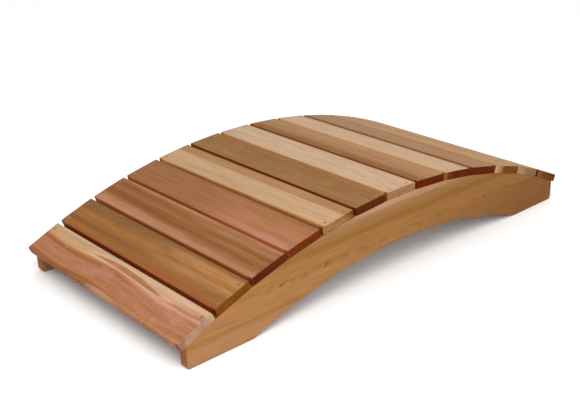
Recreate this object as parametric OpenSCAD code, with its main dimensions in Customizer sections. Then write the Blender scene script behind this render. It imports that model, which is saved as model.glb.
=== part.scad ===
// Arched garden footbridge in cedar: a deck of planks laid crosswise over an arc, on two
// curved side boards (stringers) whose ends are cut flat to stand on the ground.
// X runs along the bridge, Y across it and Z up from the ground. Sizes are in millimetres.

/* [Deck] */
// Number of deck planks, odd so that one of them sits on the crown
plank_count = 13; // [9:2:17]
// Width of one plank, measured along the deck
plank_width = 89; // [64:1:115]
// Thickness of one plank
plank_thickness = 19; // [15:1:32]
// Length of one plank, which is the width of the bridge
plank_length = 584; // [400:1:900]
// Gap between neighbouring planks at their undersides
plank_gap = 7.5; // [3:0.5:14]
// Rounding of the long edges of a plank
plank_edge_radius = 2.5; // [0.5:0.5:5]

/* [Stringers] */
// Radius of the arc that the upper edge of each stringer follows
arch_radius = 1380; // [1100:10:2000]
// Depth of the curved board, from its upper edge to its arched underside
stringer_depth = 108; // [80:1:130]
// Thickness of one stringer
stringer_thickness = 22; // [15:1:45]
// Height of the upright cut at each end of a stringer
end_height = 50; // [35:1:90]
// Rounding of the lower corner at each end of a stringer
foot_corner_radius = 8; // [2:1:15]

/* [Fits] */
// How far the undersides of the end planks reach past the ends of the stringers
end_overhang = 10; // [0:1:30]
// How far the planks reach past the outer face of each stringer
side_overhang = 0; // [0:1:40]

/* [Hidden] */
$fn = 96;
overcut = 10;

function plank_name(k) = str("plank_", k < 10 ? "0" : "", k);

// Each plank lies on a flat seat of its own, whose two edges are on the arc.
half_seat_angle = asin(plank_width / 2 / arch_radius);
half_gap_angle = asin(plank_gap / 2 / arch_radius);
seat_radius = arch_radius * cos(half_seat_angle);
plank_angle = 2 * (half_seat_angle + half_gap_angle);
end_angle = plank_angle * (plank_count - 1) / 2;

// The last seat would run out past the end of the stringer by the overhang of the end plank.
last_seat_edge = end_angle + half_seat_angle;
half_length = arch_radius * sin(last_seat_edge) - end_overhang;
end_rise = arch_radius * cos(last_seat_edge) + end_overhang * tan(end_angle);
arc_centre_z = end_height - end_rise;
stringer_offset = plank_length / 2 - side_overhang - stringer_thickness / 2;

// Cedar tones, from sapwood cream to dark heartwood, and the tone of each plank in turn
CREAM = "#dcb98c";
TAN = "#c39a68";
GOLD = "#b0834c";
SALMON = "#c0845a";
PINK = "#d39a7e";
BROWN = "#96633c";
OLIVE = "#8f6a42";
PLANK_TONES = [PINK, GOLD, BROWN, SALMON, CREAM, OLIVE, CREAM, BROWN, CREAM, SALMON, TAN, TAN, BROWN];
STRINGER_TONE = "#b27c48";

function seat_angle(k) = (k - 1) * plank_angle - end_angle;
function arc_point(angle, radius = arch_radius) = [radius * sin(angle), arc_centre_z + radius * cos(angle)];

// A plank's cross-section, with its underside on the X axis
module plank_profile() {
    inner_width = plank_width - 2 * plank_edge_radius;
    inner_height = plank_thickness - 2 * plank_edge_radius;
    translate([-plank_width / 2, plank_edge_radius]) square([plank_width, inner_height]);
    translate([-inner_width / 2, 0]) square([inner_width, plank_thickness]);
    for (x = [-1, 1], z = [-1, 1])
        translate([x * inner_width / 2, plank_thickness / 2 + z * inner_height / 2])
            circle(r = plank_edge_radius);
}

// Plank k of the deck, counted from the -X end
module plank(k) {
    seat_centre = arc_point(seat_angle(k), seat_radius);
    color(PLANK_TONES[(k - 1) % len(PLANK_TONES)])
        translate([seat_centre.x, plank_length / 2, seat_centre.y])
            rotate([0, seat_angle(k), 0])
                rotate([90, 0, 0])
                    linear_extrude(height = plank_length) plank_profile();
}

// Outline of the blank: flat below, upright ends, and a seat for each plank along the top
module stringer_blank() {
    inner_seats = [for (k = [2 : plank_count - 1], side = [-1, 1])
        arc_point(seat_angle(k) + side * half_seat_angle)];
    polygon(concat(
        [[-half_length, 0], [-half_length, end_height]],
        [arc_point(half_seat_angle - end_angle)],
        inner_seats,
        [arc_point(end_angle - half_seat_angle)],
        [[half_length, end_height], [half_length, 0]]
    ));
}

// Waste outside the rounded lower corner of the foot at the +X end
module foot_corner_waste() {
    translate([half_length - foot_corner_radius, 0]) difference() {
        translate([0, -overcut]) square([foot_corner_radius + overcut, foot_corner_radius + overcut]);
        translate([0, foot_corner_radius]) circle(r = foot_corner_radius);
    }
}

// Side board with its arched underside, centred on Y = 0
module stringer() {
    color(STRINGER_TONE)
        translate([0, stringer_thickness / 2, 0])
            rotate([90, 0, 0])
                linear_extrude(height = stringer_thickness) difference() {
                    stringer_blank();
                    translate([0, arc_centre_z]) circle(r = arch_radius - stringer_depth, $fn = 720);
                    foot_corner_waste();
                    mirror([1, 0]) foot_corner_waste();
                }
}

module front_stringer() {
    translate([0, -stringer_offset, 0]) stringer();
}

module back_stringer() {
    translate([0, stringer_offset, 0]) stringer();
}

for (k = [1 : plank_count])
    plank(k);
front_stringer();
back_stringer();
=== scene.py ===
import math
import random

import bmesh
import bpy
from mathutils import Matrix, Vector, noise


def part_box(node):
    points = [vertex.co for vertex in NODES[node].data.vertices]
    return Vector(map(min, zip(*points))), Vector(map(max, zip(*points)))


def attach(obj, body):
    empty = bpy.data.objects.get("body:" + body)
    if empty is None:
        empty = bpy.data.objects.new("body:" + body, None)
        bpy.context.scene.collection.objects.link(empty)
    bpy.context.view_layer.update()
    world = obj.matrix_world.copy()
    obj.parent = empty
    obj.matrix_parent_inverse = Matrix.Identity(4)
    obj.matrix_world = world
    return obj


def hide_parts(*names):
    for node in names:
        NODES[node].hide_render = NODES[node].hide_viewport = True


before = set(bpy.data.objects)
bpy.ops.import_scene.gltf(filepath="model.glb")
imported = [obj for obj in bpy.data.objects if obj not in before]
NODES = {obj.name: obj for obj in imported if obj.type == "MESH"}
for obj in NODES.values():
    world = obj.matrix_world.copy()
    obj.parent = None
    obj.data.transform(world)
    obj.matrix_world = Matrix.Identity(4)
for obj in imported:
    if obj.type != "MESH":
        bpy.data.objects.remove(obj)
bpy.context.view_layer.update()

PLANK_NODES = sorted(n for n in NODES if n.startswith("plank_"))
MM = 0.001

# ---------------------------------------------------------------- wood tones

TONES = {
    "ivory": "#c9a98b",
    "chalk": "#bb9f82",
    "cream": "#be9b76",
    "straw": "#bd9565",
    "wheat": "#a87a57",
    "toffee": "#a3754b",
    "oat": "#9a7042",
    "walnut": "#8f6233",
    "rose": "#a5745a",
    "tan": "#a67b50",
    "gold": "#966733",
    "fawn": "#997453",
    "salmon": "#a3704d",
    "pink": "#ad7862",
    "blush": "#bd917a",
    "clay": "#94633f",
    "sienna": "#905a32",
    "rust": "#824422",
    "brown": "#82562f",
    "olive": "#815b34",
    "amber": "#6e4210",
    "russet": "#652804",
    "maroon": "#581b00",
}


def linear(tone):
    """A tone's colour as linear RGBA."""
    code = TONES[tone]
    parts = [int(code[i : i + 2], 16) / 255 for i in (1, 3, 5)]
    return tuple(c / 12.92 if c <= 0.04045 else ((c + 0.055) / 1.055) ** 2.4 for c in parts) + (1.0,)


# ------------------------------------------------------------- node building


class Graph:
    """Adds nodes to a material; most methods return the new node's output."""

    def __init__(self, material):
        material.use_nodes = True
        self.tree = material.node_tree
        self.tree.nodes.clear()

    def add(self, kind, **settings):
        made = self.tree.nodes.new(kind)
        for name, value in settings.items():
            setattr(made, name, value)
        return made

    def put(self, socket, value):
        if isinstance(value, bpy.types.NodeSocket):
            self.tree.links.new(value, socket)
        elif value is not None:
            socket.default_value = value

    def math(self, operation, a, b=None, c=None):
        made = self.add("ShaderNodeMath", operation=operation)
        for socket, value in zip(made.inputs, (a, b, c)):
            self.put(socket, value)
        return made.outputs[0]

    def times(self, a, b):
        return self.math("MULTIPLY", a, b)

    def minus(self, a, b):
        return self.math("SUBTRACT", a, b)

    def scaled(self, a, factor, base):
        """a times factor, added to base."""
        return self.math("MULTIPLY_ADD", a, factor, base)

    def reach(self, x, y):
        """The distance of (x, y) from the origin."""
        return self.math("SQRT", self.math("ADD", self.math("POWER", x, 2.0), self.math("POWER", y, 2.0)))

    def vector(self, x, y, z):
        made = self.add("ShaderNodeCombineXYZ")
        for socket, value in zip(made.inputs, (x, y, z)):
            self.put(socket, value)
        return made.outputs[0]

    def split(self, vector):
        made = self.add("ShaderNodeSeparateXYZ")
        self.put(made.inputs[0], vector)
        return made.outputs[0], made.outputs[1], made.outputs[2]

    def noise(self, vector, detail=2.0, roughness=0.5):
        """Noise of about one feature a unit, from 0 to 1 with its middle at a half."""
        made = self.add("ShaderNodeTexNoise")
        self.put(made.inputs["Vector"], vector)
        made.inputs["Scale"].default_value = 1.0
        made.inputs["Detail"].default_value = detail
        made.inputs["Roughness"].default_value = roughness
        return made.outputs["Fac"]

    def step(self, value, low, high):
        """0 below low, 1 above high and smooth between; falling where low is above high."""
        falling = low > high
        made = self.add("ShaderNodeMapRange", interpolation_type="SMOOTHSTEP")
        self.put(made.inputs["Value"], value)
        self.put(made.inputs["From Min"], min(low, high))
        self.put(made.inputs["From Max"], max(low, high))
        made.inputs["To Min"].default_value = 1.0 if falling else 0.0
        made.inputs["To Max"].default_value = 0.0 if falling else 1.0
        return made.outputs[0]

    def mix(self, factor, a, b, mode="MIX"):
        made = self.add("ShaderNodeMix", data_type="RGBA", blend_type=mode)
        self.put(made.inputs[0], factor)
        self.put(made.inputs[6], a)
        self.put(made.inputs[7], b)
        return made.outputs[2]

    def tint(self, colour, tint):
        """The colour multiplied by a tint (red, green, blue)."""
        return self.mix(1.0, colour, (*tint, 1.0), "MULTIPLY")

    def lay(self, colour, over, share, strength):
        """The colour with another laid over it where share is 1, at most as strongly as strength."""
        return self.mix(self.times(share, strength), colour, over)

    def ramp(self, factor, stops):
        """Colour ramp; stops are (position, tone)."""
        made = self.add("ShaderNodeValToRGB")
        made.color_ramp.interpolation = "EASE"
        elements = made.color_ramp.elements
        while len(elements) < len(stops):
            elements.new(0.5)
        for element, (position, tone) in zip(elements, stops):
            element.position = position
            element.color = linear(tone)
        self.put(made.inputs[0], factor)
        return made.outputs[0]

    def output(self, shader):
        """Joins a shader node to the material's surface."""
        self.put(self.add("ShaderNodeOutputMaterial").inputs["Surface"], shader.outputs[0])


# ------------------------------------------------------------ cedar material


class Board:
    """How one board was sawn and coloured. Lengths are in metres.

    bands runs across the board, and ends across its end grain: (position from 0 to 1, tone).
    near_bands takes over from bands between the two places along the board in near_from.
    pith is where the middle of the tree lies, across and through the board, and taper is how
    fast it leans along the board. ring is the spacing of the growth rings.
    wander is how far the grain strays from straight, and slant its steady drift to one side.
    waves bend the grain: (height, length, place along the board).
    lenses are long ovals of other wood: (along, across, half length, half width, two tones).
    ring_contrast, streak, grain, mottle and speckle are strengths from 0 to 1.
    flecks is the height across the board of a row of small brown flecks.
    shade multiplies the colour of all faces but the ends, edge that of the two long narrow
    faces on top of it, and end_shade that of the ends. edge is partly the narrow faces' own
    tone and partly painted light: above 1 it is a painted lift against the shade in the gaps
    between planks, below 1 it is in part painted shade there.
    """

    def __init__(self, bands, ends, **extra):
        self.bands = bands
        self.near_bands = None
        self.near_from = (0.05, -0.16)
        self.ends = ends
        self.pith = (0.02, -0.09)
        self.ring = 0.0026
        self.ring_contrast = 0.4
        self.streak = 0.45
        self.grain = 0.35
        self.mottle = 0.25
        self.mottle_tone = "salmon"
        self.wander = 0.006
        self.taper = 0.02
        self.waves = []
        self.slant = 0.0
        self.lenses = []
        self.speckle = 0.0
        self.shade = (1.0, 1.0, 1.0)
        self.end_shade = (1.0, 1.0, 1.0)
        self.edge = (0.7, 0.5, 0.36)
        self.flecks = None
        self.__dict__.update(extra)


# tints, which multiply a colour
DARK_STREAK = (0.74, 0.66, 0.56)
LIGHT_STREAK = (1.14, 1.13, 1.08)
LATE_WOOD = (0.66, 0.5, 0.38)
FIBRE = (0.78, 0.72, 0.66)
BRUISED = (0.7, 0.5, 0.36)
# painted shade for the dark ends of the gaps between planks, laid on the narrow side faces next to a board's
# ends
GAP_END_SHADE = (0.3, 0.16, 0.1)
END_DARK = (0.55, 0.42, 0.34)
END_LIGHT = (1.5, 1.42, 1.35)
# painted shade: all end tones are this much darker, to take back the light that the fill lamp adds to the
# ends that face it
END_FILL_SHADE = 0.79

RIPPLE = 3 * MM
BAND_FRAY = 0.12  # how unevenly near_bands takes over, in metres
# how far from a board's end the painted gap shade reaches on its side faces
GAP_END_SHADE_REACH = (0.016, 0.007)  # from the plank's end, where its side faces darken
SOAK_REACH = 0.006  # from the board's end, where oil has soaked into its faces
SOAK_FRAY = 0.004
HALO_RADII = (0.0056, 0.0040)  # of the bruised wood round a screw
HALO_STRENGTH = 0.1
BUMP_DEPTH = 0.00022
SEED_SHIFT = 3.7


class Cedar(Graph):
    """Oiled cedar for one board, in the board's own coordinates.

    place turns frame coordinates into the board's own: (centre, turn about Y).
    axes picks the along, across and through axes from them; size is (length, width).
    screws is how far along and across from the board's middle its four screws lie.
    """

    def __init__(self, name, board, seed, place, axes, size, screws=None):
        self.material = bpy.data.materials.new(name)
        super().__init__(self.material)
        self.board = board
        self.length, self.width = size
        self.shift = seed * SEED_SHIFT
        self.find_place(place, axes)
        self.bend_grain()
        self.grow_rings()
        self.streaks = self.field(1.1, 75.0, 3.0, 0.6, self.bent, 9.0)
        self.fibres = self.field(14.0, 900.0, 3.0, 0.65, self.across, 2.0)
        self.is_end = self.step(self.end_facing, 0.45, 0.8)
        self.finish(self.whole_colour(screws))

    def find_place(self, place, axes):
        """Where a point lies on the board, and which way its surface faces there."""
        centre, turn = place
        coordinates = self.add("ShaderNodeTexCoord")
        local = self.add("ShaderNodeMapping", vector_type="TEXTURE")
        self.put(local.inputs["Vector"], coordinates.outputs["Object"])
        local.inputs["Location"].default_value = centre
        local.inputs["Rotation"].default_value = (0, turn, 0)
        facing = self.add("ShaderNodeMapping", vector_type="VECTOR")
        self.put(facing.inputs["Vector"], coordinates.outputs["Normal"])
        facing.inputs["Rotation"].default_value = (0, -turn, 0)
        spot = self.split(local.outputs[0])
        normal = self.split(facing.outputs[0])
        self.along, self.across, self.through = (spot[i] for i in axes)
        self.end_facing = self.math("ABSOLUTE", normal[axes[0]])
        self.side_facing = self.math("ABSOLUTE", normal[axes[1]])
        self.to_end = self.minus(self.length / 2, self.math("ABSOLUTE", self.along))

    def field(self, per_along, per_across, detail, roughness, across, offset):
        """Noise with its own number of features per metre along the grain and across it."""
        place = self.vector(
            self.scaled(self.along, per_along, self.shift + offset),
            self.scaled(across, per_across, self.shift - offset),
            self.scaled(self.through, per_across, offset),
        )
        return self.noise(place, detail, roughness)

    def bend_grain(self):
        """Lets the grain stray from a straight line. bent is where across the board it started."""
        sway = self.minus(self.field(2.2, 7.0, 2.0, 0.5, self.across, 0.0), 0.5)
        ripple = self.minus(self.field(11.0, 30.0, 2.0, 0.5, self.across, 5.0), 0.5)
        bent = self.scaled(sway, self.board.wander * 2, self.across)
        bent = self.scaled(ripple, RIPPLE, bent)
        bent = self.scaled(self.along, self.board.slant, bent)
        for height, wave_length, middle in self.board.waves:
            turns = self.times(self.minus(self.along, middle), math.tau / wave_length)
            bent = self.scaled(self.math("COSINE", turns), -height, bent)
        self.bent = bent
        self.band = self.math("ADD", self.math("DIVIDE", bent, self.width), 0.5)

    def grow_rings(self):
        """Growth rings by distance from the pith, some with more late wood than others."""
        from_pith = self.minus(self.bent, self.board.pith[0])
        depth = self.scaled(self.along, self.board.taper, self.through)
        depth = self.minus(depth, self.board.pith[1])
        rings = self.math("DIVIDE", self.reach(from_pith, depth), self.board.ring)
        share = self.math("FRACT", rings)
        number = self.math("FLOOR", rings)
        strength = self.noise(self.vector(self.times(number, 0.73), self.shift, 0.0), 1.0)
        latewood = self.times(self.step(share, 0.35, 0.86), self.step(share, 1.0, 0.9))
        self.latewood = self.times(latewood, self.step(strength, 0.2, 0.75))
        self.ring_groups = self.noise(self.vector(self.times(rings, 0.16), self.shift, 0.0), 3.0, 0.6)

    def banded(self):
        """The bands across the board, with its lenses."""
        board = self.board
        colour = self.ramp(self.band, board.bands)
        if board.near_bands:
            near = self.scaled(self.minus(self.streaks, 0.5), BAND_FRAY, self.along)
            near_colour = self.ramp(self.band, board.near_bands)
            colour = self.mix(self.step(near, *board.near_from), colour, near_colour)
        for lens in board.lenses:
            colour = self.lensed(colour, lens)
        return colour

    def lensed(self, colour, lens):
        """An oval of other wood, with a pale rim that closes round it."""
        middle_along, middle_across, half_length, half_width, inside, rim = lens
        x = self.math("DIVIDE", self.minus(self.along, middle_along), half_length)
        y = self.math("DIVIDE", self.minus(self.bent, middle_across), half_width)
        off = self.reach(x, y)
        colour = self.lay(colour, linear(inside), self.step(off, 1.05, 0.6), 0.75)
        ring = self.times(self.step(off, 0.8, 0.98), self.step(off, 1.35, 1.05))
        return self.lay(colour, linear(rim), ring, 0.6)

    def figured(self, colour):
        """Streaks, mottling, late wood, grain and fibres over the bands."""
        board = self.board
        grain = self.field(10.0, 270.0, 3.0, 0.6, self.bent, 12.0)
        mottling = self.field(16.0, 42.0, 3.0, 0.6, self.bent, 7.0)
        dark = self.tint(colour, DARK_STREAK)
        light = self.tint(colour, LIGHT_STREAK)
        streaked = self.mix(self.step(self.streaks, 0.36, 0.66), dark, light)
        colour = self.mix(board.streak, colour, streaked)
        grouped = self.mix(self.step(self.ring_groups, 0.35, 0.65), dark, colour)
        colour = self.mix(board.streak * 0.8, colour, grouped)
        colour = self.lay(colour, linear(board.mottle_tone), self.step(mottling, 0.5, 0.72), board.mottle)
        colour = self.lay(colour, self.tint(colour, LATE_WOOD), self.latewood, board.ring_contrast)
        grained = self.mix(self.step(grain, 0.36, 0.64), dark, light)
        colour = self.mix(board.grain, colour, grained)
        return self.lay(colour, self.tint(colour, FIBRE), self.step(self.fibres, 0.52, 0.75), 0.45)

    def speckled(self, colour):
        """Rows of small golden specks, on the -across side of the board's -along half."""
        specks = self.field(85.0, 190.0, 2.0, 0.55, self.across, 3.0)
        rows = self.field(5.0, 95.0, 1.0, 0.5, self.bent, 6.0)
        here = self.times(self.step(specks, 0.46, 0.6), self.step(rows, 0.4, 0.55))
        here = self.times(here, self.step(self.along, 0.06, -0.1))
        here = self.times(here, self.step(self.band, 0.62, 0.5))
        return self.lay(colour, linear("gold"), here, self.board.speckle)

    def flecked(self, colour):
        """A loose row of small brown smears that lean along the grain, at one height on the board."""
        drop = self.times(self.minus(self.across, self.board.flecks), 100.0)
        leaning = self.scaled(self.along, -0.2, self.across)
        place = self.vector(self.times(self.along, 52.0), self.times(leaning, 180.0), self.shift)
        share = self.step(self.noise(place, 2.0, 0.6), 0.515, 0.62)
        share = self.times(share, self.step(self.math("ABSOLUTE", drop), 0.85, 0.35))
        groups = self.noise(self.vector(self.times(self.along, 19.0), self.shift, 0.0), 1.0)
        share = self.times(share, self.scaled(self.step(groups, 0.35, 0.55), 0.75, 0.25))
        share = self.times(share, self.step(self.math("ABSOLUTE", self.along), 0.5, 0.4))
        return self.lay(colour, linear("rust"), share, 0.8)

    def sided(self, colour):
        """The long narrow faces get the edge tint, partly their own tone and partly painted light against the
        shade in the gaps, and painted shade next to the board's ends, where the gaps end dark.
        """
        on_side = self.step(self.side_facing, 0.5, 0.95)
        # the edge tint: partly the narrow faces' own tone, partly painted light against the shade in the gaps
        colour = self.lay(colour, self.tint(colour, self.board.edge), on_side, 0.9)
        # painted shade: the side faces darken next to the ends, as the gaps between planks do there
        corner = self.times(on_side, self.step(self.to_end, *GAP_END_SHADE_REACH))
        return self.lay(colour, self.tint(colour, GAP_END_SHADE), corner, 0.85)

    def end_colour(self):
        """End grain, with bands of its own, late wood, pores and patches."""
        # the end tones carry painted shade that takes back the fill lamp's light
        shade = tuple(END_FILL_SHADE * c for c in self.board.end_shade)
        colour = self.tint(self.ramp(self.band, self.board.ends), shade)
        dark = self.tint(colour, END_DARK)
        pore_place = self.vector(self.times(self.across, 900.0), self.times(self.through, 900.0), self.shift)
        patch_place = self.vector(self.times(self.across, 60.0), self.times(self.through, 120.0), self.shift)
        pores = self.noise(pore_place, 2.0)
        patches = self.noise(patch_place, 3.0, 0.6)
        colour = self.lay(colour, dark, self.latewood, 0.55)
        colour = self.lay(colour, dark, self.step(pores, 0.5, 0.7), 0.35)
        colour = self.lay(colour, self.tint(colour, END_LIGHT), self.step(patches, 0.5, 0.72), 0.7)
        return self.lay(colour, dark, self.step(patches, 0.5, 0.28), 0.55)

    def near_screw(self, screws):
        """1 close round each of the four screws, and 0 elsewhere."""
        off_along = self.minus(self.math("ABSOLUTE", self.along), screws[0])
        off_across = self.minus(self.math("ABSOLUTE", self.across), screws[1])
        return self.step(self.reach(off_along, off_across), *HALO_RADII)

    def whole_colour(self, screws):
        """The colour of the faces, the ends and the bruised wood round the screws."""
        colour = self.figured(self.banded())
        if self.board.speckle:
            colour = self.speckled(colour)
        if self.board.flecks is not None:
            colour = self.flecked(colour)
        colour = self.tint(colour, self.board.shade)
        bruised = self.tint(colour, BRUISED)
        soaked = self.step(self.scaled(self.fibres, -SOAK_FRAY, self.to_end), SOAK_REACH, 0.0)
        colour = self.lay(self.sided(colour), bruised, soaked, 0.15)
        colour = self.mix(self.is_end, colour, self.end_colour())
        if screws is not None:
            colour = self.lay(colour, bruised, self.near_screw(screws), HALO_STRENGTH)
        return colour

    def finish(self, colour):
        """The surface: late wood is a little glossier and stands proud."""
        roughness = self.scaled(self.fibres, 0.22, 0.42)
        roughness = self.scaled(self.latewood, -0.08, roughness)
        roughness = self.scaled(self.is_end, 0.12, roughness)
        planer = self.field(120.0, 2.0, 1.0, 0.5, self.across, 4.0)
        height = self.times(self.latewood, 0.35)
        height = self.scaled(self.fibres, 0.9, height)
        height = self.scaled(planer, 0.18, height)
        height = self.scaled(self.streaks, 0.5, height)
        bump = self.add("ShaderNodeBump")
        bump.inputs["Strength"].default_value = 0.55
        bump.inputs["Distance"].default_value = BUMP_DEPTH
        self.put(bump.inputs["Height"], height)
        shader = self.add("ShaderNodeBsdfPrincipled")
        self.put(shader.inputs["Base Color"], colour)
        self.put(shader.inputs["Roughness"], roughness)
        self.put(shader.inputs["Normal"], bump.outputs[0])
        shader.inputs["Specular IOR Level"].default_value = 0.03
        self.output(shader)


def screw_steel():
    """Dulled stainless steel, stained brown by the cedar."""
    material = bpy.data.materials.new("screw_steel")
    g = Graph(material)
    coordinates = g.add("ShaderNodeTexCoord").outputs["Object"]
    scaled = g.add("ShaderNodeVectorMath", operation="SCALE")
    g.put(scaled.inputs[0], coordinates)
    scaled.inputs["Scale"].default_value = 900.0
    grime = g.noise(scaled.outputs[0], 3.0)
    colour = g.mix(g.step(grime, 0.35, 0.7), (0.30, 0.185, 0.112, 1.0), (0.42, 0.28, 0.185, 1.0))
    shader = g.add("ShaderNodeBsdfPrincipled")
    g.put(shader.inputs["Base Color"], colour)
    shader.inputs["Metallic"].default_value = 1.0
    g.put(shader.inputs["Roughness"], g.scaled(grime, 0.3, 0.25))
    g.output(shader)
    return material


# ------------------------------------------------------------------- meshes


def new_piece(name, mesh_data, material):
    piece = bpy.data.objects.new(name, mesh_data)
    bpy.context.scene.collection.objects.link(piece)
    if material:
        mesh_data.materials.append(material)
    return piece


def mesh_data(name, mesh):
    """A bmesh as named mesh data; the bmesh is freed."""
    data = bpy.data.meshes.new(name)
    mesh.to_mesh(data)
    mesh.free()
    return data


def apply_modifiers(piece):
    """Bakes a piece's modifiers into its mesh."""
    graph = bpy.context.evaluated_depsgraph_get()
    made = bpy.data.meshes.new_from_object(piece.evaluated_get(graph))
    piece.modifiers.clear()
    old, piece.data = piece.data, made
    bpy.data.meshes.remove(old)


SHARP_ANGLE = math.radians(38)


def smooth(piece):
    """Smooth shading on rounded edges, with flat faces kept flat."""
    piece.data.shade_smooth()
    piece.data.set_sharp_from_angle(angle=SHARP_ANGLE)
    weighted = piece.modifiers.new("flat_faces", "WEIGHTED_NORMAL")
    weighted.keep_sharp = True
    apply_modifiers(piece)


def skin(mesh, loops):
    """Joins closed loops of points one after another, and closes both ends."""
    for a, b in zip(loops, loops[1:]):
        for i in range(len(a)):
            j = (i + 1) % len(a)
            mesh.faces.new((a[i], a[j], b[j], b[i]))
    mesh.faces.new(list(reversed(loops[0])))
    mesh.faces.new(loops[-1])


def plank_place(node):
    """A plank's centre, its turn about Y and its (width, length, thickness), from its CAD node."""
    low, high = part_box(node)
    centre = (low + high) / 2
    points = [(v.co.x - centre.x, v.co.z - centre.z) for v in NODES[node].data.vertices]
    xx = sum(x * x for x, _ in points)
    zz = sum(z * z for _, z in points)
    xz = sum(x * z for x, z in points)
    turn = -0.5 * math.atan2(2 * xz, xx - zz)
    wide = 2 * max(x * math.cos(turn) - z * math.sin(turn) for x, z in points)
    thick = 2 * max(x * math.sin(turn) + z * math.cos(turn) for x, z in points)
    return centre, turn, (wide, high.y - low.y, thick)


TOP_RADIUS = 1.4 * MM
OUTER_RADIUS = 2.5 * MM  # top edges of the first and last plank
BOTTOM_RADIUS = 1.2 * MM
END_RADIUS = 0.9 * MM
CORNER_STEPS = 5
END_STEPS = 3
TOP_CELLS = 9
BODY_CELLS = 30
BODY_START = 4 * MM  # where the even cells along a plank begin, from its ends
CUP = 0.25 * MM  # how far a plank's long edges sag below its middle
WAVER = 0.08 * MM  # how far its sides stray from straight
WAVERS_PER_METRE = 4
WAVER_SEED_STEP = 5.1
WAVER_ROW = 0.3


def plank_section(width, thickness, top_radius):
    """Points round a plank's section, anticlockwise from the middle of its right side."""
    points = []
    for corner, (sx, sz) in enumerate(((1, 1), (-1, 1), (-1, -1), (1, -1))):
        radius = top_radius if sz > 0 else BOTTOM_RADIUS
        half_w, half_t = width / 2 - radius, thickness / 2 - radius
        for i in range(CORNER_STEPS + 1):
            angle = math.radians(90 * (corner + i / CORNER_STEPS))
            x = sx * half_w + radius * math.cos(angle)
            z = sz * half_t + radius * math.sin(angle)
            points.append((x, z))
        if corner in (0, 2):
            for i in range(1, TOP_CELLS):
                x = half_w * (1 - 2 * i / TOP_CELLS)
                points.append((x if corner == 0 else -x, sz * thickness / 2))
    return points


def plank_stations(length):
    """(place along the plank, inset) of each section of a plank, which is eased at both ends."""
    angles = [math.radians(90 * i / END_STEPS) for i in range(END_STEPS + 1)]
    ends = [(END_RADIUS * (1 - math.sin(a)), END_RADIUS * (1 - math.cos(a))) for a in angles]
    body = length - 2 * BODY_START
    stations = [(-length / 2 + back, inset) for inset, back in ends]
    for i in range(BODY_CELLS + 1):
        stations.append((-length / 2 + BODY_START + body * i / BODY_CELLS, 0.0))
    stations += [(length / 2 - back, inset) for inset, back in reversed(ends)]
    return stations


def plank_mesh(name, size, seed, top_radius):
    """A planed board with eased edges, slightly cupped and not quite straight."""
    width, length, thickness = size
    section = plank_section(width, thickness, top_radius)
    mesh = bmesh.new()
    loops = []
    for y, inset in plank_stations(length):
        place = Vector((y * WAVERS_PER_METRE, seed * WAVER_SEED_STEP, WAVER_ROW))
        wave = 0.5 + 0.5 * noise.noise(place)
        squeeze = 1 - (inset + WAVER * wave) / (width / 2)
        flatten = 1 - inset / (thickness / 2)
        loop = []
        for x, z in section:
            cup = CUP * (x / (width / 2)) ** 2 if z > 0 else 0.0
            loop.append(mesh.verts.new((x * squeeze, y, z * flatten - cup)))
        loops.append(loop)
    skin(mesh, loops)
    bmesh.ops.recalc_face_normals(mesh, faces=mesh.faces)
    return mesh_data(name, mesh)


SCREW_RADIUS = 3.9 * MM
SCREW_NECK = 1.6 * MM  # radius of a head at its foot
SCREW_SINK = 0.12 * MM
SINK_SPREAD = 0.3  # in millimetres
SCREW_DEPTH = 3.2 * MM
SCREW_FROM_EDGE = 17 * MM
SCREW_SIDES = 28
HEAD_EASE = 0.25 * MM
HOLE_NECK = 1.7 * MM
HOLE_PLAY = 0.06 * MM
HOLE_RISE = 1 * MM  # how far the cutter stands above the plank
# half length, half width and height of the recess at its foot and its mouth, in millimetres
DRIVE_SLOT = ((0.9, 0.3, -1.6), (2.0, 0.4, 0.3))
ON_RIM = -1e-6


def cone_mesh(mesh, centre, top_radius, bottom_radius, top, bottom):
    """Adds a closed cone frustum whose axis is the Z axis through centre."""
    loops = []
    for radius, z in ((bottom_radius, bottom), (top_radius, top)):
        angles = [2 * math.pi * i / SCREW_SIDES for i in range(SCREW_SIDES)]
        loops.append([
            mesh.verts.new((centre[0] + radius * math.cos(a), centre[1] + radius * math.sin(a), z))
            for a in angles
        ])
    skin(mesh, loops)


def cut(piece, cutter_mesh):
    """Takes the closed shape in cutter_mesh out of the piece."""
    bmesh.ops.recalc_face_normals(cutter_mesh, faces=cutter_mesh.faces)
    data = mesh_data("cutter", cutter_mesh)
    cutter = new_piece("cutter", data, None)
    modifier = piece.modifiers.new("cut", "BOOLEAN")
    modifier.operation = "DIFFERENCE"
    modifier.solver = "EXACT"
    modifier.object = cutter
    apply_modifiers(piece)
    bpy.data.objects.remove(cutter)
    bpy.data.meshes.remove(data)


def countersinks(piece, spots, top):
    """Cuts a countersunk hole at each spot in a plank that lies flat."""
    holes = bmesh.new()
    slope = (SCREW_RADIUS - SCREW_NECK) / SCREW_DEPTH
    mouth = SCREW_RADIUS + HOLE_PLAY + slope * (SCREW_SINK + HOLE_RISE)
    for spot in spots:
        cone_mesh(holes, spot, mouth, HOLE_NECK, top + HOLE_RISE, top - SCREW_SINK - SCREW_DEPTH)
    cut(piece, holes)


def drive_slot(turn):
    """One of the two slots that make the cross recess in a screw head."""
    mesh = bmesh.new()
    loops = []
    for half_length, half_width, z in DRIVE_SLOT:
        loops.append([
            mesh.verts.new((sx * half_length * MM, sy * half_width * MM, z * MM))
            for sx, sy in ((1, 1), (-1, 1), (-1, -1), (1, -1))
        ])
    skin(mesh, loops)
    bmesh.ops.rotate(mesh, verts=mesh.verts, matrix=Matrix.Rotation(turn, 3, "Z"))
    return mesh


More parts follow.
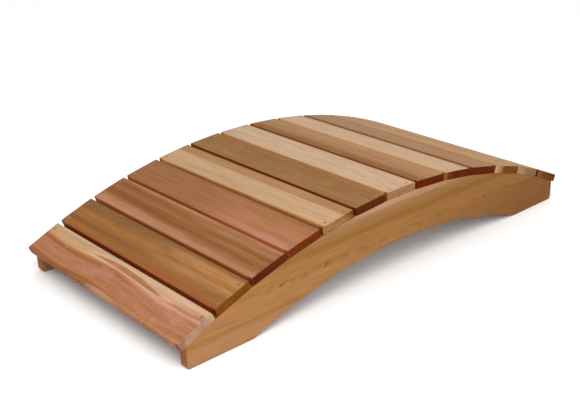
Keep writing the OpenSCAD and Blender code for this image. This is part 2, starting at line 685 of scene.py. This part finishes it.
def screw_head():
    """One countersunk screw head with a cross recess, its rim at height 0."""
    mesh = bmesh.new()
    cone_mesh(mesh, (0, 0), SCREW_RADIUS, SCREW_NECK, 0.0, -SCREW_DEPTH)
    rim = [e for e in mesh.edges if all(v.co.z > ON_RIM for v in e.verts)]
    bmesh.ops.bevel(mesh, geom=rim, offset=HEAD_EASE, segments=2, affect="EDGES", profile=0.5)
    head = new_piece("screw_head", mesh_data("screw_head", mesh), None)
    for turn in (0, 90):
        cut(head, drive_slot(math.radians(turn)))
    return head


WELD = 1e-5
FLAT_ANGLE = math.radians(0.3)
OFF_GROUND = 1 * MM
CLEAR_BELOW = 5 * MM
END_LENGTH = 20 * MM
ON_ARCH = 0.05 * MM
LONGEST_CELL = 80 * MM  # a longer edge between arch points isn't part of the arch
CELL_SPLIT = 6
SIDE_EASE = 1.5 * MM
SAME_DEPTH = 1e-6


def side_board_mesh(name, node):
    """The side board's own outline, with a finer arch and eased edges."""
    mesh = bmesh.new()
    mesh.from_mesh(NODES[node].data)
    bmesh.ops.remove_doubles(mesh, verts=mesh.verts, dist=WELD)
    bmesh.ops.dissolve_limit(mesh, angle_limit=FLAT_ANGLE, verts=mesh.verts, edges=mesh.edges)
    outline = [v.co.copy() for v in max(mesh.faces, key=lambda f: f.calc_area()).verts]
    mesh.free()
    low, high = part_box(node)
    points = finer_arch(outline, arch_points(outline, high.x))
    return extruded_board(name, points, low.y, high.y)


def arch_points(outline, end):
    """The outline's points on the arched underside, from the -X end to the +X end."""
    arch = [
        p for p in outline
        if p.z > OFF_GROUND and abs(p.x) < end - END_LENGTH and not any_below(p, outline)
    ]
    return sorted(arch, key=lambda p: p.x)


def any_below(point, outline):
    """Whether the outline passes below the point."""
    for a, b in zip(outline, outline[1:] + outline[:1]):
        low, high = sorted((a, b), key=lambda p: p.x)
        if low.x < point.x < high.x or low.x == point.x != high.x:
            share = (point.x - low.x) / (high.x - low.x)
            if low.z + share * (high.z - low.z) < point.z - CLEAR_BELOW:
                return True
    return False


def circle_through(a, b, c):
    """Centre (x, z) and radius of the circle through three points."""
    ax, az, bx, bz, cx, cz = a.x, a.z, b.x, b.z, c.x, c.z
    d = 2 * (ax * (bz - cz) + bx * (cz - az) + cx * (az - bz))
    a2, b2, c2 = ax * ax + az * az, bx * bx + bz * bz, cx * cx + cz * cz
    x = (a2 * (bz - cz) + b2 * (cz - az) + c2 * (az - bz)) / d
    z = (a2 * (cx - bx) + b2 * (ax - cx) + c2 * (bx - ax)) / d
    return x, z, math.hypot(ax - x, az - z)


def finer_arch(outline, arch):
    """The outline with points added along the arched underside."""
    x0, z0, radius = circle_through(arch[0], arch[len(arch) // 2], arch[-1])

    def on_arch(p):
        return abs(math.hypot(p.x - x0, p.z - z0) - radius) < ON_ARCH

    points = []
    for a, b in zip(outline, outline[1:] + outline[:1]):
        points.append((a.x, a.z))
        if on_arch(a) and on_arch(b) and (a - b).length < LONGEST_CELL:
            for i in range(1, CELL_SPLIT):
                p = a.lerp(b, i / CELL_SPLIT)
                out = Vector((p.x - x0, p.z - z0)).normalized() * radius
                points.append((x0 + out.x, z0 + out.y))
    return points


def extruded_board(name, points, y0, y1):
    """A board with this outline in X and Z, with eased edges all round."""
    mesh = bmesh.new()
    front = [mesh.verts.new((x, y0, z)) for x, z in points]
    back = [mesh.verts.new((x, y1, z)) for x, z in points]
    mesh.faces.new(front)
    mesh.faces.new(list(reversed(back)))
    count = len(points)
    for i in range(count):
        j = (i + 1) % count
        mesh.faces.new((front[j], front[i], back[i], back[j]))
    bmesh.ops.recalc_face_normals(mesh, faces=mesh.faces)
    rims = [e for e in mesh.edges if abs(e.verts[0].co.y - e.verts[1].co.y) < SAME_DEPTH]
    bmesh.ops.bevel(mesh, geom=rims, offset=SIDE_EASE, segments=3, affect="EDGES", profile=0.5)
    return mesh_data(name, mesh)


# ------------------------------------------------------------------- boards

# The deck, from the low -X end to the +X end. Bands run from a plank's -X edge to its +X edge.
# The near_bands of the first, second and fourth planks are lighter than their bands partly in the wood's own
# figure and partly as painted light, for more light falling on their near (-Y) ends.
DECK = [
    # the ivory at the +X end of bands and near_bands is partly pale wood and partly a painted highlight along
    # the plank's rounded +X edge
    Board(
        [(0.0, "clay"), (0.08, "sienna"), (0.15, "salmon"), (0.25, "salmon"), (0.35, "pink"),
         (0.5, "salmon"), (0.58, "sienna"), (0.65, "salmon"), (0.71, "straw"), (0.82, "cream"),
         (0.95, "chalk"), (1.0, "ivory")],
        [(0.0, "pink"), (0.35, "chalk"), (0.6, "blush"), (1.0, "ivory")],
        near_bands=[(0.0, "pink"), (0.14, "salmon"), (0.26, "pink"), (0.36, "salmon"), (0.48, "pink"),
                    (0.6, "pink"), (0.68, "blush"), (0.74, "pink"), (0.84, "blush"), (0.92, "ivory"),
                    (1.0, "ivory")],
        lenses=[(-0.03, 0.0255, 0.14, 0.0075, "clay", "ivory"),
                (-0.02, -0.047, 0.055, 0.006, "cream", "blush")],
        waves=[(0.0045, 0.38, 0.0)], wander=0.004, taper=0.012, pith=(0.012, -0.05), speckle=0.8,
        mottle=0.5, mottle_tone="blush", streak=0.4, shade=(0.92, 0.9, 0.92), edge=(0.9, 0.78, 0.65),
        end_shade=(0.72, 0.7, 0.68),
    ),
    Board(
        [(0.0, "rust"), (0.06, "sienna"), (0.2, "walnut"), (0.33, "brown"), (0.45, "walnut"),
         (0.6, "gold"), (0.7, "walnut"), (0.8, "olive"), (1.0, "olive")],
        [(0.0, "amber"), (1.0, "amber")],
        near_bands=[(0.0, "sienna"), (0.08, "sienna"), (0.2, "walnut"), (0.45, "toffee"), (0.56, "gold"),
                    (0.68, "toffee"), (0.82, "toffee"), (0.92, "olive"), (1.0, "olive")],
        slant=0.02, wander=0.009, mottle=0.5, mottle_tone="olive", taper=0.03, streak=0.4,
        edge=(1.3, 0.65, 0.2), shade=(0.95, 0.95, 0.98), end_shade=(1.08, 0.97, 0.9),
    ),
    Board(
        [(0.0, "rose"), (0.2, "rose"), (0.28, "clay"), (0.36, "brown"), (0.5, "brown"), (0.6, "clay"),
         (0.78, "brown"), (0.9, "clay"), (0.96, "salmon"), (1.0, "salmon")],
        [(0.0, "maroon"), (1.0, "russet")],
        near_bands=[(0.0, "salmon"), (0.06, "rose"), (0.14, "rose"), (0.22, "clay"), (0.35, "olive"),
                    (0.5, "clay"), (0.62, "brown"), (0.8, "fawn"), (0.9, "clay"), (0.96, "salmon"),
                    (1.0, "salmon")],
        wander=0.011, slant=-0.006, mottle_tone="brown", mottle=0.4, taper=0.006, streak=0.4,
        edge=(1.45, 1.05, 0.6), shade=(0.95, 0.95, 0.94), end_shade=(0.8, 0.76, 0.6),
    ),
    Board(
        [(0.0, "clay"), (0.5, "clay"), (1.0, "clay")],
        [(0.0, "russet"), (1.0, "russet")],
        near_bands=[(0.0, "pink"), (0.3, "salmon"), (0.6, "salmon"), (1.0, "clay")],
        mottle=0.5, mottle_tone="gold", streak=0.35, taper=0.01, edge=(1.7, 1.25, 0.85),
        shade=(0.91, 0.93, 0.98),
    ),
    Board(
        [(0.0, "gold"), (0.04, "straw"), (0.1, "cream"), (0.62, "cream"), (0.72, "tan"), (0.94, "tan"),
         (1.0, "brown")],
        [(0.0, "tan"), (0.6, "tan"), (1.0, "amber")],
        wander=0.004, slant=0.008, streak=0.3, mottle_tone="blush", ring_contrast=0.25,
        edge=(1.7, 1.6, 1.6), shade=(0.86, 0.88, 0.94), end_shade=(0.78, 0.72, 0.66),
    ),
    Board(
        [(0.0, "brown"), (0.05, "brown"), (0.4, "olive"), (0.7, "brown"), (1.0, "brown")],
        [(0.0, "maroon"), (1.0, "maroon")],
        streak=0.35, mottle_tone="fawn", edge=(0.65, 0.32, 0.13), shade=(1.14, 1.28, 1.42),
        end_shade=(0.9, 1.1, 0.9),
    ),
    Board(
        [(0.0, "cream"), (0.1, "chalk"), (0.9, "chalk"), (1.0, "tan")],
        [(0.0, "tan"), (1.0, "tan")],
        streak=0.25, mottle_tone="cream", ring_contrast=0.25, edge=(1.3, 1.1, 0.9),
        shade=(0.95, 0.94, 0.97), end_shade=(0.77, 0.76, 0.83),
    ),
    Board(
        [(0.0, "brown"), (0.1, "brown"), (0.5, "fawn"), (1.0, "tan")],
        [(0.0, "maroon"), (1.0, "maroon")],
        streak=0.35, mottle_tone="salmon", edge=(0.95, 0.75, 0.6), shade=(1.02, 1.02, 1.02),
    ),
    Board(
        [(0.0, "cream"), (0.15, "chalk"), (0.85, "chalk"), (1.0, "tan")],
        [(0.0, "sienna"), (0.12, "russet"), (0.4, "maroon"), (1.0, "maroon")],
        streak=0.25, mottle_tone="blush", ring_contrast=0.25, edge=(1.15, 1.05, 1.0),
        shade=(0.97, 0.96, 0.96),
    ),
    Board(
        [(0.0, "brown"), (0.2, "fawn"), (1.0, "fawn")],
        [(0.0, "maroon"), (1.0, "maroon")],
        streak=0.35, mottle_tone="pink", edge=(1.0, 0.9, 0.8), shade=(1.02, 1.0, 0.96),
    ),
    Board(
        [(0.0, "tan"), (0.5, "tan"), (1.0, "fawn")],
        [(0.0, "straw"), (0.25, "tan"), (0.42, "amber"), (1.0, "amber")],
        mottle_tone="straw", shade=(1.05, 1.14, 1.16), edge=(1.0, 0.92, 0.8), streak=0.35,
    ),
    Board(
        [(0.0, "tan"), (0.6, "fawn"), (1.0, "tan")],
        [(0.0, "cream"), (0.3, "straw"), (0.45, "tan"), (1.0, "fawn")],
        mottle_tone="straw", shade=(1.1, 1.24, 1.26), edge=(1.0, 0.92, 0.8), streak=0.35,
        end_shade=(0.68, 0.67, 0.69),
    ),
    Board(
        [(0.0, "fawn"), (0.6, "fawn"), (1.0, "tan")],
        [(0.0, "sienna"), (0.5, "amber"), (1.0, "amber")],
        near_bands=[(0.0, "rust"), (1.0, "brown")],
        mottle_tone="straw", shade=(0.66, 0.58, 0.46), streak=0.35, end_shade=(0.8, 0.78, 0.7),
    ),
]
# The side boards. Bands run from the ground up; the near ones are at the -X end. The far bands are darker
# partly in the wood's own tone and partly as painted shade, for the key light falling off towards the +X end.
SIDE_BANDS = [
    (0.0, "wheat"), (0.18, "wheat"), (0.24, "oat"), (0.29, "toffee"), (0.46, "toffee"), (0.55, "oat"),
    (0.66, "oat"), (0.75, "walnut"), (0.82, "oat"), (0.89, "fawn"), (0.96, "blush"), (1.0, "blush"),
]
SIDE_FAR_BANDS = [
    (0.0, "brown"), (0.45, "brown"), (0.53, "walnut"), (0.64, "walnut"), (0.75, "brown"),
    (0.85, "walnut"), (0.93, "fawn"), (1.0, "fawn"),
]
SIDE_ENDS = [(0.0, "sienna"), (1.0, "brown")]

SIDE_SEEDS = {"front_stringer": 21, "back_stringer": 34}
SIDE_PITH_HEIGHT = 97 * MM
SIDE_PITH_DEPTH = 0.05  # towards the inside of the bridge
FLECK_HEIGHT = 95 * MM

front_low, front_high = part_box("front_stringer")
SCREW_ROW = -(front_low.y + front_high.y) / 2  # from the middle of the bridge to a row of screws

rng = random.Random(11)


def add_screws(screws, head, spots, top, to_frame):
    """Adds a head at each spot of a plank, each sunk and turned a little differently."""
    for x, y in spots:
        z = top - SCREW_SINK - rng.uniform(0, SINK_SPREAD) * MM
        place = to_frame @ Matrix.Translation((x, y, z))
        place = place @ Matrix.Rotation(rng.uniform(0, math.tau), 4, "Z")
        copy = head.data.copy()
        copy.transform(place)
        screws.from_mesh(copy)
        bpy.data.meshes.remove(copy)


def build_plank(index, node, screws, head):
    """Replaces one CAD plank with a finished board, and adds its four screws."""
    centre, turn, size = plank_place(node)
    width, length, thickness = size
    offset = width / 2 - SCREW_FROM_EDGE
    material = Cedar(
        "wood_" + node, DECK[index % len(DECK)], index + 1, (centre, turn), (1, 0, 2), (length, width),
        screws=(SCREW_ROW, offset),
    ).material
    is_outer = index in (0, len(PLANK_NODES) - 1)
    name = "board_" + node[-2:]
    piece = new_piece(name, plank_mesh(name, size, index, OUTER_RADIUS if is_outer else TOP_RADIUS), material)
    spots = [(sx * offset, sy * SCREW_ROW) for sx in (-1, 1) for sy in (-1, 1)]
    countersinks(piece, spots, thickness / 2)
    smooth(piece)
    to_frame = Matrix.Translation(centre) @ Matrix.Rotation(turn, 4, "Y")
    add_screws(screws, head, spots, thickness / 2, to_frame)
    piece.data.transform(to_frame)
    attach(piece, "root")
    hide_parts(node)


def build_deck():
    """All planks, and their screws as one piece."""
    steel = screw_steel()
    head = screw_head()
    screws = bmesh.new()
    for index, node in enumerate(PLANK_NODES):
        build_plank(index, node, screws, head)
    deck_screws = new_piece("deck_screws", mesh_data("deck_screws", screws), steel)
    bpy.data.objects.remove(head)
    smooth(deck_screws)
    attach(deck_screws, "root")


def build_side_board(node, seed):
    """Replaces one CAD side board with a finished one."""
    low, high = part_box(node)
    middle = Vector((0, (low.y + high.y) / 2, (low.z + high.z) / 2))
    face = -1 if node == "front_stringer" else 1
    board = Board(
        SIDE_FAR_BANDS, SIDE_ENDS, near_bands=SIDE_BANDS, near_from=(0.62, -0.45),
        ring=0.0034, wander=0.003, taper=0.012, streak=0.18, ring_contrast=0.25, mottle=0.2,
        # shade is darker partly as painted shade, to take back the light the fill lamp adds to the front
        # board; end_shade lifts the side boards' ends back against the painted shade that darkens all end
        # grain, as the fill lamp hardly reaches them
        shade=(0.78, 0.78, 0.71), end_shade=(1.2, 1.2, 1.2),
        pith=(SIDE_PITH_HEIGHT - middle.z, -face * SIDE_PITH_DEPTH), flecks=FLECK_HEIGHT - middle.z,
    )
    size = (high.x - low.x, high.z - low.z)
    material = Cedar("wood_" + node, board, seed, (middle, 0.0), (0, 2, 1), size).material
    piece = new_piece(node + "_board", side_board_mesh(node + "_board", node), material)
    smooth(piece)
    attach(piece, "root")
    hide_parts(node)


build_deck()
for side_node, side_seed in SIDE_SEEDS.items():
    build_side_board(side_node, side_seed)

# ------------------------------------------------- floor, light and camera

FLOOR_HALF_SIZE = 12
FLOOR_WHITE = 0.97
WORLD_STRENGTH = 0.98
AZIMUTH, ELEVATION, ROLL = (math.radians(a) for a in (-41.32, 23.44, -1.425))
DISTANCE = 2.2325
AIM = Vector((-0.0698, 0, 0.0796))
SENSOR_WIDTH = 36
FOCAL_LENGTH = 57.6


def build_floor():
    """A plain pale floor."""
    mesh = bmesh.new()
    bmesh.ops.create_grid(mesh, x_segments=2, y_segments=2, size=FLOOR_HALF_SIZE)
    material = bpy.data.materials.new("pale_floor")
    g = Graph(material)
    shader = g.add("ShaderNodeBsdfPrincipled")
    shader.inputs["Base Color"].default_value = (FLOOR_WHITE, FLOOR_WHITE, FLOOR_WHITE, 1)
    shader.inputs["Roughness"].default_value = 0.9
    shader.inputs["Specular IOR Level"].default_value = 0.1
    g.output(shader)
    floor = new_piece("floor", mesh_data("floor", mesh), material)


def soft_light(name, place, aim, size, power):
    """A square studio light that faces its aim."""
    lamp = bpy.data.lights.new(name, "AREA")
    lamp.shape = "SQUARE"
    lamp.size = size
    lamp.energy = power
    holder = bpy.data.objects.new(name, lamp)
    holder.location = place
    holder.rotation_euler = (Vector(aim) - Vector(place)).to_track_quat("-Z", "Y").to_euler()
    scene.collection.objects.link(holder)


def white_world():
    """Even white light from all round."""
    world = bpy.data.worlds.new("studio")
    scene.world = world
    world.use_nodes = True
    world.node_tree.nodes["Background"].inputs["Color"].default_value = (1, 1, 1, 1)
    world.node_tree.nodes["Background"].inputs["Strength"].default_value = WORLD_STRENGTH


def photo_camera():
    """A camera where the photo was taken from, as fitted to the planks' corners."""
    back = Vector((
        math.sin(AZIMUTH) * math.cos(ELEVATION),
        -math.cos(AZIMUTH) * math.cos(ELEVATION),
        math.sin(ELEVATION),
    ))
    roll = Matrix.Rotation(ROLL, 3, "Z").to_quaternion()
    camera_data = bpy.data.cameras.new("camera")
    camera_data.sensor_width = SENSOR_WIDTH
    camera_data.lens = FOCAL_LENGTH
    camera = bpy.data.objects.new("camera", camera_data)
    camera.rotation_mode = "QUATERNION"
    camera.location = AIM + back * DISTANCE
    camera.rotation_quaternion = back.to_track_quat("Z", "Y") @ roll
    scene.collection.objects.link(camera)
    return camera


scene = bpy.context.scene
scene.view_settings.view_transform = "Standard"
build_floor()
white_world()
soft_light("key", (-1.3, -1.5, 2.3), (0, 0, 0.1), 1.6, 36)
soft_light("fill", (-0.5, -2.8, 0.6), (0.1, 0, 0.0), 2.0, 30)
scene.camera = photo_camera()
